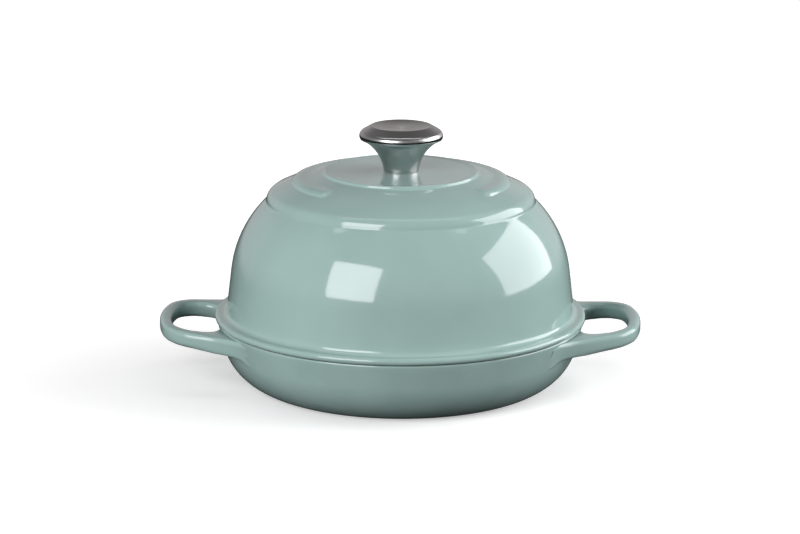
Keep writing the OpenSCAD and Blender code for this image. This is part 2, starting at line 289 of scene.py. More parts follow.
class Loft:
    """Draws closed rings of points one after another and skins them."""

    def __init__(self, name: str) -> None:
        """Start a piece with an empty mesh.

        Args:
            name: Name of the piece.
        """
        deselect()
        bpy.ops.mesh.primitive_plane_add(size=MM)
        self.piece = bpy.context.object
        self.piece.name = self.piece.data.name = name
        bpy.ops.object.mode_set(mode="EDIT")
        bpy.ops.mesh.select_mode(type="VERT")
        bpy.ops.mesh.delete(type="VERT")

    def ring(self, points: Sequence[Vector]) -> None:
        """Draw one closed ring.

        Args:
            points: Its points, in metres.
        """
        bpy.ops.mesh.select_all(action="DESELECT")
        bpy.ops.mesh.primitive_plane_add(size=MM)
        bpy.ops.mesh.merge(type="CENTER")
        bpy.ops.transform.translate(value=points[0])
        for start, end in zip(points, [*points[1:], points[0]]):
            bpy.ops.mesh.extrude_region_move(TRANSFORM_OT_translate={"value": end - start})

    def skin(self) -> bpy.types.Object:
        """Join each ring to the next.

        Returns:
            The piece.
        """
        take_all()
        bpy.ops.mesh.remove_doubles(threshold=WELD / 2)
        bpy.ops.mesh.select_mode(type="EDGE")
        take_all()
        bpy.ops.mesh.bridge_edge_loops()
        settle(self.piece)
        return self.piece


def raise_by(piece: bpy.types.Object, height: float, weight: Callable[[Vector], float]) -> None:
    """Lift a piece's skin along Z by a weighted height.

    Args:
        piece: The piece.
        height: Full height in millimetres.
        weight: Gives 0 to 1 for a point of the mesh.
    """
    group = piece.vertex_groups.new(name="raised")
    for vertex in piece.data.vertices:
        share = weight(vertex.co)
        if share > 0:
            group.add([vertex.index], share, "REPLACE")
    activate(piece)
    lift = piece.modifiers.new("lift", "DISPLACE")
    lift.direction, lift.mid_level, lift.strength = "Z", 0.0, height * MM
    lift.vertex_group = group.name
    bpy.ops.object.modifier_apply(modifier=lift.name)
    piece.vertex_groups.clear()


def dress(
    piece: bpy.types.Object,
    finish: bpy.types.Material,
    others: Sequence[tuple[bpy.types.Material, FaceTest]] = (),
) -> None:
    """Give a piece its finishes.

    Args:
        piece: The piece.
        finish: Material of the whole piece.
        others: Further materials, each with a test of a face's middle and outward normal. A later
            one that fits a face takes it.
    """
    piece.data.materials.clear()
    piece.data.materials.append(finish)
    for index, (material, fits) in enumerate(others, 1):
        piece.data.materials.append(material)
        for face in piece.data.polygons:
            if fits(face.center, face.normal):
                face.material_index = index


# Finishes


class NodeSheet:
    """A material's node tree with short calls for the nodes that the finishes use."""

    def __init__(self, name: str) -> None:
        """Make a material with a principled shader and Object coordinates.

        Args:
            name: Name of the material.
        """
        self.material = bpy.data.materials.new(name)
        self.material.use_nodes = True
        self.nodes = self.material.node_tree.nodes
        self.links = self.material.node_tree.links
        self.shader = self.nodes["Principled BSDF"]
        self.place = self.nodes.new("ShaderNodeTexCoord").outputs["Object"]

    def set(self, **values: object) -> None:
        """Set constants on the shader.

        Args:
            values: Values by socket, with underscores for spaces in the names.
        """
        for key, value in values.items():
            self.shader.inputs[key.replace("_", " ")].default_value = value

    def noise(
        self, size: float, detail: float = 3, place: Socket | None = None, rough: float = 0.5
    ) -> Socket:
        """Return a noise's value.

        Args:
            size: Size of its grains in millimetres.
            detail: Number of finer layers.
            place: Coordinates that it follows, or None for the piece's own.
            rough: Strength of the finer layers.

        Returns:
            The output socket.
        """
        node = self.nodes.new("ShaderNodeTexNoise")
        node.inputs["Scale"].default_value = 1 / (size * MM)
        node.inputs["Detail"].default_value = detail
        node.inputs["Roughness"].default_value = rough
        self.links.new(place or self.place, node.inputs["Vector"])
        return node.outputs["Fac"]

    def ramp(self, value: Socket, stops: Sequence[tuple[float, Colour]]) -> Socket:
        """Let a colour follow a value.

        Args:
            value: The value.
            stops: Places on the value's scale, each with its colour.

        Returns:
            The colour's socket.
        """
        node = self.nodes.new("ShaderNodeValToRGB")
        elements = node.color_ramp.elements
        while len(elements) < len(stops):
            elements.new(0.5)
        for element, (position, colour) in zip(elements, stops):
            element.position, element.color = position, (*colour, 1)
        self.links.new(value, node.inputs["Fac"])
        return node.outputs["Color"]

    def span(
        self, value: Socket, low: float, high: float, start: float = 0, end: float = 1
    ) -> Socket:
        """Bring a value to another scale.

        Args:
            value: The value.
            low: Result where the value is start.
            high: Result where the value is end.
            start: First value of the old scale.
            end: Last value of the old scale.

        Returns:
            The result's socket.
        """
        node = self.nodes.new("ShaderNodeMapRange")
        ends = {"From Min": start, "From Max": end, "To Min": low, "To Max": high}
        for key, number in ends.items():
            node.inputs[key].default_value = number
        self.links.new(value, node.inputs["Value"])
        return node.outputs["Result"]

    def maths(
        self, operation: str, first: Socket | float, second: Socket | float = 0.0
    ) -> Socket:
        """Work with one or two values.

        Args:
            operation: The operation's name.
            first: First value or number.
            second: Second value or number.

        Returns:
            The result's socket.
        """
        node = self.nodes.new("ShaderNodeMath")
        node.operation = operation
        for socket, value in zip(node.inputs, (first, second)):
            if isinstance(value, (int, float)):
                socket.default_value = value
            else:
                self.links.new(value, socket)
        return node.outputs[0]

    def bump(self, height: Socket, depth: float, after: Socket | None = None) -> Socket:
        """Return normals bent by a height.

        Args:
            height: The height, from 0 to 1.
            depth: Full depth in millimetres.
            after: Normals of an earlier bump, or None.

        Returns:
            The output socket.
        """
        node = self.nodes.new("ShaderNodeBump")
        node.inputs["Strength"].default_value = 1.0
        node.inputs["Distance"].default_value = depth * MM
        self.links.new(height, node.inputs["Height"])
        if after is not None:
            self.links.new(after, node.inputs["Normal"])
        return node.outputs["Normal"]

    def feed(self, socket: str, value: Socket) -> None:
        """Link a value to a socket of the shader."""
        self.links.new(value, self.shader.inputs[socket])


@dataclass(frozen=True)
class GlossEnamel:
    """Fired glossy enamel over cast iron, whose grain shows faintly in the gloss.

    Clouds, smears, waves and grains are sizes in millimetres, and the depths are full depths.
    """

    name: str
    colour: Colour
    shade: Colour
    roughness: float = 0.09
    grain_depth: float = 0.016
    wave_depth: float = 0.10
    clouds: float = 28
    smears: float = 9
    waves: float = 16
    grains: float = 1.6

    def make(self) -> bpy.types.Material:
        """Return the material."""
        sheet = NodeSheet(self.name)
        cloud = sheet.noise(self.clouds, 4)
        sheet.feed("Base Color", sheet.ramp(cloud, [(0.3, self.shade), (0.7, self.colour)]))
        smear = sheet.noise(self.smears, 3)
        sheet.feed("Roughness", sheet.span(smear, self.roughness * 0.75, self.roughness * 1.3))
        low = sheet.bump(sheet.noise(self.waves, 1), self.wave_depth)
        sheet.feed("Normal", sheet.bump(sheet.noise(self.grains, 2), self.grain_depth, low))
        sheet.set(IOR=1.52, Coat_Weight=0.35, Coat_Roughness=0.04)
        return sheet.material


@dataclass(frozen=True)
class SatinBlack:
    """Black satin enamel of the inside, matt and finely pitted."""

    name: str = "satin_black_enamel"
    pit_colour: Colour = (0.010, 0.010, 0.011)
    colour: Colour = (0.045, 0.046, 0.047)
    pits: float = 0.7
    pit_depth: float = 0.03

    def make(self) -> bpy.types.Material:
        """Return the material."""
        sheet = NodeSheet(self.name)
        speck = sheet.noise(0.9, 3)
        sheet.feed("Base Color", sheet.ramp(speck, [(0.35, self.pit_colour), (0.75, self.colour)]))
        sheet.feed("Roughness", sheet.span(sheet.noise(5, 3), 0.34, 0.52))
        sheet.feed("Normal", sheet.bump(sheet.noise(self.pits, 3), self.pit_depth))
        sheet.set(IOR=1.5)
        return sheet.material


@dataclass(frozen=True)
class BareRim:
    """Ground cast iron of the rims, under a thin matt undercoat."""

    name: str = "bare_iron_rim"
    dark: Colour = (0.020, 0.020, 0.019)
    colour: Colour = (0.075, 0.072, 0.068)
    grains: float = 0.8
    grain_depth: float = 0.04

    def make(self) -> bpy.types.Material:
        """Return the material."""
        sheet = NodeSheet(self.name)
        speck = sheet.noise(1.2, 4)
        sheet.feed("Base Color", sheet.ramp(speck, [(0.3, self.dark), (0.8, self.colour)]))
        sheet.feed("Roughness", sheet.span(speck, 0.45, 0.7))
        sheet.feed("Normal", sheet.bump(sheet.noise(self.grains, 4), self.grain_depth))
        sheet.set(Metallic=0.25)
        return sheet.material


@dataclass(frozen=True)
class TurnedSteel:
    """Stainless steel with the fine rings that a brush or lathe leaves round the axis.

    The rings follow radius and height alone, and the shine is drawn out across them.
    """

    name: str
    colour: Colour
    roughness: float
    ring_w: float = 0.22
    ring_depth: float = 0.0025
    brushing: float = 0.8
    shade: float = 0.86

    def make(self) -> bpy.types.Material:
        """Return the material."""
        sheet = NodeSheet(self.name)
        split = sheet.nodes.new("ShaderNodeSeparateXYZ")
        sheet.links.new(sheet.place, split.inputs[0])
        square = [sheet.maths("MULTIPLY", split.outputs[i], split.outputs[i]) for i in (0, 1)]
        reach = sheet.maths("SQRT", sheet.maths("ADD", *square))
        section = sheet.nodes.new("ShaderNodeCombineXYZ")
        sheet.links.new(reach, section.inputs[0])
        sheet.links.new(split.outputs[2], section.inputs[2])
        lines = sheet.noise(self.ring_w, 2, section.outputs[0], 0.7)
        dark = tuple(c * self.shade for c in self.colour)
        sheet.feed("Base Color", sheet.ramp(lines, [(0.3, dark), (0.7, self.colour)]))
        cloud = sheet.span(sheet.noise(7, 3), -0.04, 0.04)
        fine = sheet.span(lines, self.roughness - 0.03, self.roughness + 0.05)
        sheet.feed("Roughness", sheet.maths("ADD", fine, cloud))
        sheet.feed("Normal", sheet.bump(lines, self.ring_depth))
        across = sheet.nodes.new("ShaderNodeCombineXYZ")
        sheet.links.new(sheet.maths("MULTIPLY", split.outputs[1], -1.0), across.inputs[0])
        sheet.links.new(split.outputs[0], across.inputs[1])
        sheet.feed("Tangent", across.outputs[0])
        sheet.set(Metallic=1.0, Anisotropic=self.brushing)
        return sheet.material


@dataclass(frozen=True)
class PlatedSteel:
    """Zinc-plated steel of the hidden fastening."""

    name: str = "plated_steel"
    colour: Colour = (0.50, 0.50, 0.48)
    shade: float = 0.7

    def make(self) -> bpy.types.Material:
        """Return the material."""
        sheet = NodeSheet(self.name)
        cloud = sheet.noise(2.5, 4)
        dull = tuple(c * self.shade for c in self.colour)
        sheet.feed("Base Color", sheet.ramp(cloud, [(0.3, dull), (0.7, self.colour)]))
        sheet.feed("Roughness", sheet.span(cloud, 0.28, 0.45))
        sheet.feed("Normal", sheet.bump(sheet.noise(0.5, 3), 0.01))
        sheet.set(Metallic=1.0)
        return sheet.material


SAGE = (0.312, 0.440, 0.418)
LID_ENAMEL = GlossEnamel("sage_enamel", SAGE, (0.295, 0.418, 0.396))
PAN_ENAMEL = GlossEnamel("sage_enamel_pan", SAGE, (0.282, 0.40, 0.378), 0.19, 0.04, 0.12)
KNOB_STEEL = TurnedSteel("satin_steel", (0.545, 0.55, 0.545), 0.22)


@dataclass
class Finishes:
    """All materials of the piece, made once."""

    sage: bpy.types.Material = field(default_factory=LID_ENAMEL.make)
    sage_cast: bpy.types.Material = field(default_factory=PAN_ENAMEL.make)
    black: bpy.types.Material = field(default_factory=SatinBlack().make)
    rim: bpy.types.Material = field(default_factory=BareRim().make)
    knob: bpy.types.Material = field(default_factory=KNOB_STEEL.make)
    plated: bpy.types.Material = field(default_factory=PlatedSteel().make)


# Pan


@dataclass
class Handle:
    """One loop handle, drawn from the pan's wall to the middle of its tip and mirrored."""

    pan_r: float
    pan_h: float
    pan_wall: float
    pan_lean: float
    reach: float = 166.2
    half_w: float = 40.9
    spread: float = 16.7
    tip_r: float = 109
    corner_r: float = 30
    hole_corner_r: float = 19
    tip_w: float = 8.6
    side_w: float = 10.8
    bar_h: float = 11
    edge_r: float = 3.6
    rise: float = 6
    drop: float = 1.5
    root_r: float = 55
    web_r: float = 14
    gusset_h: float = 1.5
    gusset_l: float = 26
    sink: float = 0.4
    fillet_r: float = 4
    root_steps: int = 16
    side_steps: int = 5
    corner_steps: int = 14
    tip_steps: int = 8
    edge_steps: int = 5

    def __post_init__(self) -> None:
        """Work out the lines that the whole handle shares."""
        self.side = 90 - self.spread
        self.normal = heading(self.side)
        self.out_dist = self.normal[0] * self.reach + self.normal[1] * self.half_w
        self.tip_c = (self.reach - self.tip_r, 0.0)
        self.bar_top = self.pan_h - self.drop

    def wall_at(self, height: float) -> float:
        """Return the radius of the pan's outer wall at a height."""
        return self.pan_r - (self.pan_h - height) * math.tan(math.radians(self.pan_lean))

    def line(self, wall: float, inner: bool) -> list[Flat]:
        """Return one line of the outline, from the wall to the middle of the tip.

        Args:
            wall: Radius of the wall that it starts from.
            inner: Whether it is the hole's line.

        Returns:
            The points, as many for each line.
        """
        beyond = -1 if inner else 1
        fillet = self.web_r if inner else self.root_r
        corner = self.hole_corner_r if inner else self.corner_r
        tip = self.tip_r - (self.tip_w if inner else 0)
        dist = self.out_dist - (self.side_w if inner else 0)
        w = self.side - math.degrees(math.acos((dist + beyond * fillet) / (wall + fillet)))
        reach = dist - corner - self.normal[0] * self.tip_c[0]
        k = self.side - math.degrees(math.acos(reach / (tip - corner)))
        root = along((0, 0), heading(w), wall + fillet)
        elbow = along(self.tip_c, heading(k), tip - corner)
        points = [along((0, 0), heading(w), wall - self.pan_wall / 2)]
        points += arc_points(root, fillet, 180 + w, self.side + (0 if inner else 180), self.root_steps)
        start, end = points[-1], along(elbow, self.normal, corner)
        for i in range(1, self.side_steps):
            points.append(tuple(a + (b - a) * i / self.side_steps for a, b in zip(start, end)))
        points += arc_points(elbow, corner, self.side, k, self.corner_steps)
        points += arc_points(self.tip_c, tip, k, 0, self.tip_steps)[1:]
        return points

    def top(self, place: Flat) -> float:
        """Return the height of the bar's top at a place."""
        return self.bar_top + max(0.0, place[0] - self.pan_r) * math.tan(math.radians(self.rise))

    def low(self, place: Flat, wall: float) -> float:
        """Find the height of the bar's underside, with its fillet to the wall.

        Args:
            place: The place, in plan.
            wall: Radius of the pan's wall there.

        Returns:
            The height.
        """
        away = max(0.0, math.hypot(*place) - self.pan_r)
        gusset = self.gusset_h * max(0.0, 1 - away / self.gusset_l) ** 2
        near = self.fillet_r - min(self.fillet_r, max(0.0, math.hypot(*place) - wall))
        hollow = self.fillet_r - math.sqrt(self.fillet_r**2 - near**2)
        return self.top(place) - self.bar_h - gusset - hollow

    def rings(self) -> list[list[Vector]]:
        """Go round the bar at each place, from the wall to the middle of the tip.

        Returns:
            The rings of points, in metres.
        """
        high_wall = self.wall_at(self.bar_top) - self.sink
        low_wall = self.wall_at(self.bar_top - self.bar_h - self.gusset_h) - self.sink
        high = [self.line(high_wall, inner) for inner in (False, True)]
        low = [self.line(low_wall, inner) for inner in (False, True)]
        rings = []
        for i in range(len(high[0])):
            ring = []
            for inner, top in ((0, 0), (0, 1), (1, 1), (1, 0)):
                pair = high if top else low
                here, there = pair[inner][i], pair[1 - inner][i]
                across = heading(angle_of(here, there))
                for step in range(self.edge_steps + 1):
                    turn = step / self.edge_steps * 90
                    turn = math.radians(turn if inner != top else 90 - turn)
                    flat = along(here, across, self.edge_r * (1 - math.cos(turn)))
                    inset = self.edge_r * (1 - math.sin(turn))
                    z = self.top(flat) - inset if top else self.low(flat, low_wall) + inset
                    ring.append(Vector((*flat, z)) * MM)
            rings.append(ring)
        return rings

    def build(self) -> bpy.types.Object:
        """Build the handle on the pan's right.

        Returns:
            The handle, to be joined with the bowl.
        """
        loft = Loft("handle")
        for ring in self.rings():
            loft.ring(ring)
        piece = loft.skin()
        mirror = piece.modifiers.new("mirror", "MIRROR")
        mirror.use_axis = (False, True, False)
        mirror.merge_threshold = 5 * WELD
        bpy.ops.object.modifier_apply(modifier=mirror.name)
        bpy.ops.object.mode_set(mode="EDIT")
        take_all()
        bpy.ops.mesh.fill_holes(sides=0)
        take_all()
        bpy.ops.mesh.normals_make_consistent(inside=False)
        bpy.ops.object.mode_set(mode="OBJECT")
        bpy.ops.object.shade_smooth_by_angle(angle=math.radians(SMOOTH_BELOW))
        return piece


@dataclass
class Pan:
    """Shallow cast pan with its two handles."""

    finishes: Finishes
    rim_r: float = 126.5
    height: float = 45
    wall: float = 4.4
    lean: float = 13
    bend_r: float = 38.7
    foot_cut: float = 1.8
    floor_t: float = 4.6
    well_r: float = 30
    edge_r: float = 1.5
    recess_r: float = 84
    recess_d: float = 0.8
    ridge_count: int = 5
    ridge_pitch: float = 15
    ridge_h: float = 1.4
    ridge_half: float = 2.9
    ridge_steps: int = 12
    ridge_fullness: float = 0.8
    foot_edge_r: float = 0.6
    foot_round_r: float = 3
    foot_round_turn: float = 3
    bare_depth: float = 0.5
    black_over: float = 0.9
    flat_floor_r: float = 90
    inside_low: float = 3
    segments: int = 256

    def bowl(self) -> bpy.types.Object:
        """Draw the bowl's section, from the middle of the foot round the rim to the well, and turn it.

        Returns:
            The bowl.
        """
        rim = (self.rim_r, self.height)
        well_rim = (self.rim_r - self.wall / heading(self.lean)[0], self.height)
        bend = touching(rim, self.lean, self.bend_r, self.bend_r - self.foot_cut)
        well = touching(well_rim, self.lean, self.well_r, self.floor_t + self.well_r)
        out_c = touching(rim, self.lean, self.edge_r, self.height - self.edge_r)
        in_c = touching(well_rim, self.lean, -self.edge_r, self.height - self.edge_r)
        foot = (bend[0] + math.sqrt(self.bend_r**2 - bend[1] ** 2), 0.0)
        start = angle_of(bend, foot)
        pen = Pen("base_pan_cast", (0, self.recess_d))
        pen.line((self.recess_r - 2, self.recess_d), 6)
        pen.corner((self.recess_r, self.recess_d), (self.recess_r + 0.4, 0), self.foot_edge_r, 3)
        pen.corner((self.recess_r + 0.5, 0), (foot[0], 0), self.foot_edge_r, 3)
        wall_start = start + self.foot_round_turn
        past_foot = along(bend, heading(wall_start), self.bend_r)
        pen.corner(foot, past_foot, self.foot_round_r, 3)
        pen.line(past_foot).arc(bend, -self.lean - wall_start, 30)
        pen.line(along(out_c, heading(-self.lean), self.edge_r), 5).arc(out_c, 90 + self.lean, 7)
        pen.line((in_c[0], self.height), 2).arc(in_c, 90 - self.lean, 6)
        pen.line(along(well, heading(-self.lean), self.well_r), 5).arc(well, self.lean - 90, 20)
        for ring in range(self.ridge_count, 0, -1):
            middle = ring * self.ridge_pitch
            for i in range(self.ridge_steps + 1):
                u = 1 - 2 * i / self.ridge_steps
                swell = (0.5 + 0.5 * math.cos(math.pi * u)) ** self.ridge_fullness
                pen.line((middle + u * self.ridge_half, self.floor_t + self.ridge_h * swell))
        pen.line((0, self.floor_t), 3)
        return pen.turn(self.segments)

    def build(self) -> bpy.types.Object:
        """Build, join and dress the pan.

        Returns:
            The pan's piece.
        """
        bowl = self.bowl()
        right = Handle(self.rim_r, self.height, self.wall, self.lean).build()
        activate(right)
        bpy.ops.object.duplicate()
        left = bpy.context.object
        left.rotation_euler.z = math.pi
        settle(left)
        activate(bowl)
        for handle in (right, left):
            handle.select_set(True)
        bpy.ops.object.join()
        self.dress(bowl)
        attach(bowl, Body.PAN.value)
        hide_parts("base_pan")
        return bowl

    def dress(self, piece: bpy.types.Object) -> None:
        """Glaze the outside, and leave the rim bare and the inside black.

        Args:
            piece: The pan.
        """
        slope = math.tan(math.radians(self.lean))

        def inside(middle: Vector, normal: Vector) -> bool:
            reach = math.hypot(middle.x, middle.y) / MM
            height = middle.z / MM
            skin = self.rim_r - self.wall + self.black_over + (height - self.height) * slope
            faces_in = reach < self.flat_floor_r or normal.xy.dot(middle.xy) < 0
            return height > self.inside_low and reach < skin and faces_in

        def land(middle: Vector, normal: Vector) -> bool:
            low = (self.height - self.bare_depth) * MM
            return middle.z > low and math.hypot(middle.x, middle.y) < (self.rim_r + 1) * MM

        black, bare = (self.finishes.black, inside), (self.finishes.rim, land)
        dress(piece, self.finishes.sage_cast, [black, bare])


# Lid


@dataclass
class Lid:
    """Tall dome with a rolled flange, a stepped crown and a raised ring that is open at the front.

    The sizes down to the hole's are the part's own. The rest are small roundings, the mesh's loops
    on the crown, and the places where one finish gives way to the next.
    """

    finishes: Finishes
    seat: float = 45
    flange_r: float = 128
    flange_t: float = 4.8
    foot_r: float = 120.8
    wall: float = 3.8
    lean: float = 6.8
    shoulder_r: float = 78
    shoulder_z: float = 26
    fillet_r: float = 3.5
    lip_depth: float = 4
    lip_r: float = 119.56
    step_foot_z: float = 83
    step_h: float = 5
    crown_r: float = 135
    crown_t: float = 4.4
    arc_in_z: float = 102
    crown_w: float = 39.2
    disc_z: float = 103.6
    disc_edge_r: float = 1.2
    edge_rise: float = 0.6
    edge_slope_w: float = 3.4
    ring_set_in: float = 20.8
    ring_h: float = 2
    ring_out: float = 3.6
    ring_in: float = 10
    ring_gap: float = 95
    ring_gap_turn: float = 3.5
    ring_end: float = 4
    hole_r: float = 3.4
    knob_land_r: float = 12
    edge_r: float = 0.8
    seat_edge_r: float = 0.5
    step_fillet_r: float = 1.4
    disc_fillet_r: float = 1.2
    slope_fillet_r: float = 14
    hole_edge_r: float = 0.3
    crown_loops: tuple[float, ...] = (86, 83.5, 81, 78.5)
    ring_foot_r: float = 76.8
    fine_loop: float = 0.32
    fine_loops: int = 32
    coarse_loop: float = 0.9
    coarse_loops: int = 8
    last_loop_r: float = 56.5
    inside_r: float = 118.6
    inside_low: float = 40
    seat_in_r: float = 117.3
    seat_out_r: float = 126.8
    seat_depth: float = 0.6
    inside_tilt: float = 0.2
    hole_slack: float = 0.1
    segments: int = 432

    def __post_init__(self) -> None:
        """Work out the places that the whole lid shares."""
        self.shoulder = touching(
            (self.foot_r, self.seat), -self.lean, self.shoulder_r, self.seat + self.shoulder_z
        )
        out = math.sqrt(self.shoulder_r**2 - (self.step_foot_z - self.shoulder_z) ** 2)
        self.step_foot = (self.shoulder[0] + out, self.seat + self.step_foot_z)
        self.disc_r = self.step_foot[0] - self.crown_w
        self.ring_r = self.step_foot[0] - self.ring_set_in
        self.crown = self.crown_centre()

    def crown_centre(self) -> Flat:
        """Find the centre of the crown's arc, from its ends at the step and at the disc.

        Returns:
            The centre.
        """
        p = (self.step_foot[0], self.step_foot[1] + self.step_h)
        q = (self.disc_r, self.seat + self.arc_in_z)
        half = ((p[0] - q[0]) / 2, (p[1] - q[1]) / 2)
        drop = math.sqrt(self.crown_r**2 - half[0] ** 2 - half[1] ** 2) / math.hypot(*half)
        return (p[0] + q[0]) / 2 + half[1] * drop, (p[1] + q[1]) / 2 - half[0] * drop

    def crown_at(self, radius: float) -> Flat:
        """Return the point of the crown's arc at a radius."""
        return radius, self.crown[1] + math.sqrt(self.crown_r**2 - (radius - self.crown[0]) ** 2)

    def inner_wall(self, pen: Pen) -> None:
        """Draw the inside, from the hole along the ceiling and down to the lip.

        Args:
            pen: The pen, at the hole's lower edge.
        """
        crown, shoulder = self.crown, self.shoulder
        ceiling, low = pen.at[1], self.seat - self.lip_depth
        in_crown, in_shoulder = self.crown_r - self.crown_t, self.shoulder_r - self.wall
        flat_end = (crown[0] + math.sqrt(in_crown**2 - (ceiling - crown[1]) ** 2), ceiling)
        pen.line((self.knob_land_r, ceiling), 2).line(flat_end, 4)
        bend = circles_cross(crown, in_crown, shoulder, in_shoulder)
        first, last = angle_of(crown, flat_end), angle_of(crown, bend)
        pen.through(arc_points(crown, in_crown, first, last + 1, 10)[1:])
        from_bend = angle_of(shoulder, bend) - 2
        pen.corner(bend, along(shoulder, heading(from_bend), in_shoulder), 2, 4)
        pen.through(arc_points(shoulder, in_shoulder, from_bend, self.lean, 18))
        slope = math.tan(math.radians(self.lean))
        lip_x = self.foot_r - self.wall / heading(self.lean)[0] + self.lip_depth * slope
        pen.line((lip_x, low + 1.5 * self.edge_r), 10)
        pen.corner((lip_x, low), (self.lip_r, low), self.edge_r, 3)

    def outer_wall(self, pen: Pen) -> None:
        """Draw the lip's outside, the flange and the dome's wall up to the step.

        Args:
            pen: The pen, on the lip's lower edge.
        """
        seat, shoulder = self.seat, self.shoulder
        pen.corner((self.lip_r, seat - self.lip_depth), (self.lip_r, seat), self.edge_r, 3)
        pen.corner((self.lip_r, seat), (self.flange_r, seat), self.seat_edge_r, 3)
        edge, top = self.flange_t / 2, seat + self.flange_t
        pen.line((self.flange_r - edge, seat), 2).arc((self.flange_r - edge, seat + edge), 180, 14)
        back = (self.flange_t + self.fillet_r) * math.tan(math.radians(self.lean))
        fillet = (self.foot_r - back + self.fillet_r / heading(self.lean)[0], top + self.fillet_r)
        pen.line((fillet[0], top)).arc(fillet, self.lean - 90, 8)
        pen.line(along(shoulder, heading(self.lean), self.shoulder_r), 8)
        end = angle_of(shoulder, self.step_foot) - 1.6
        pen.through(arc_points(shoulder, self.shoulder_r, self.lean, end, 28)[1:])

    def crown_radii(self) -> list[float]:
        """Return the radii of the crown's loops, which lie close together under the raised ring."""
        radii = [*self.crown_loops, self.ring_foot_r]
        radii += [self.ring_foot_r - self.fine_loop * i for i in range(1, self.fine_loops + 1)]
        ring_end = self.ring_foot_r - self.fine_loop * self.fine_loops
        radii += [ring_end - self.coarse_loop * i for i in range(1, self.coarse_loops + 1)]
        return [*radii, self.last_loop_r]

    def top(self, pen: Pen) -> None:
        """Draw the step, the crown and the disc, as far as the hole.

        Args:
            pen: The pen, just below the step.
        """
        crown, foot, disc = self.crown, self.step_foot, self.seat + self.disc_z
        away = math.dist(foot, crown)
        step_r = (self.crown_r**2 - away**2) / (2 * (self.crown_r - foot[0] + crown[0]))
        step_c = (foot[0] - step_r, foot[1])
        pen.corner(foot, (foot[0], foot[1] + self.step_h), self.step_fillet_r, 5)
        pen.line(along(step_c, heading(5), step_r))
        pen.arc(step_c, angle_of(crown, step_c) - 5, 16)
        pen.through(self.crown_at(radius) for radius in self.crown_radii())
        edge = (self.disc_r, disc + self.edge_rise)
        slope_foot = (self.disc_r - self.disc_edge_r - self.edge_slope_w, disc)
        pen.corner(self.crown_at(self.disc_r), edge, self.disc_fillet_r, 5)
        pen.corner(edge, slope_foot, self.disc_edge_r, 7)
        pen.corner(slope_foot, (self.knob_land_r, disc), self.slope_fillet_r, 5)
        pen.line((self.knob_land_r, disc), 8)

    def draw(self) -> Pen:
        """Draw the section, from the screw's hole out along the inside and back along the outside.

        Returns:
            The pen.
        """
        hole = (self.hole_r, self.seat + self.arc_in_z - self.crown_t)
        pen = Pen("dome_lid_cast", hole)
        self.inner_wall(pen)
        self.outer_wall(pen)
        self.top(pen)
        pen.corner((self.hole_r, self.seat + self.disc_z), hole, self.hole_edge_r, 2).line(hole, 2)
        return pen.close()

    def ring_share(self, point: Vector) -> float:
        """Work out how far the ring raises a point of the crown.

        Args:
            point: The point, in metres.

        Returns:
            The share of the ring's height, from 0 to 1.
        """
        if point.z < self.step_foot[1] * MM:
            return 0.0
        radius = math.hypot(point.x, point.y) / MM
        middle = -90 + self.ring_gap_turn
        turned = (math.degrees(math.atan2(point.y, point.x)) - middle + 180) % 360 - 180
        past_end = math.radians(abs(turned) - self.ring_gap / 2) * self.ring_r
        out = max(0.0, radius - self.ring_r) / self.ring_out
        inward = max(0.0, self.ring_r - radius) / self.ring_in
        end = max(0.0, 1 - past_end / self.ring_end)
        if out >= 1 or inward >= 1 or past_end <= 0:
            return 0.0
        rounding = math.sqrt(max(0.0, 1 - out * out - end * end))
        return rounding * (0.5 + 0.5 * math.cos(math.pi * inward))

    def build(self) -> bpy.types.Object:
        """Build and dress the lid.

        Returns:
            The lid's piece.
        """
        lid = self.draw().turn(self.segments)
        raise_by(lid, self.ring_h, self.ring_share)
        self.dress(lid)
        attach(lid, Body.LID.value)
        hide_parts("dome_lid")
        return lid

    def dress(self, piece: bpy.types.Object) -> None:
        """Glaze the outside, and leave the seat bare and the inside black.

        Args:
            piece: The lid.
        """

        def inside(middle: Vector, normal: Vector) -> bool:
            reach = math.hypot(middle.x, middle.y)
            out = normal.xy.dot(middle.xy) / max(reach, SHORTEST)
            faces_in = out < self.inside_tilt and normal.z < self.inside_tilt
            under = reach < self.inside_r * MM and faces_in
            in_hole = reach < (self.hole_r + self.hole_slack) * MM
            return (under and middle.z > self.inside_low * MM) or in_hole

        def land(middle: Vector, normal: Vector) -> bool:
            reach = math.hypot(middle.x, middle.y) / MM
            low = middle.z < (self.seat + self.seat_depth) * MM
            return low and self.seat_in_r < reach < self.seat_out_r

        black, bare = (self.finishes.black, inside), (self.finishes.rim, land)
        dress(piece, self.finishes.sage, [black, bare])


# Knob and fastening


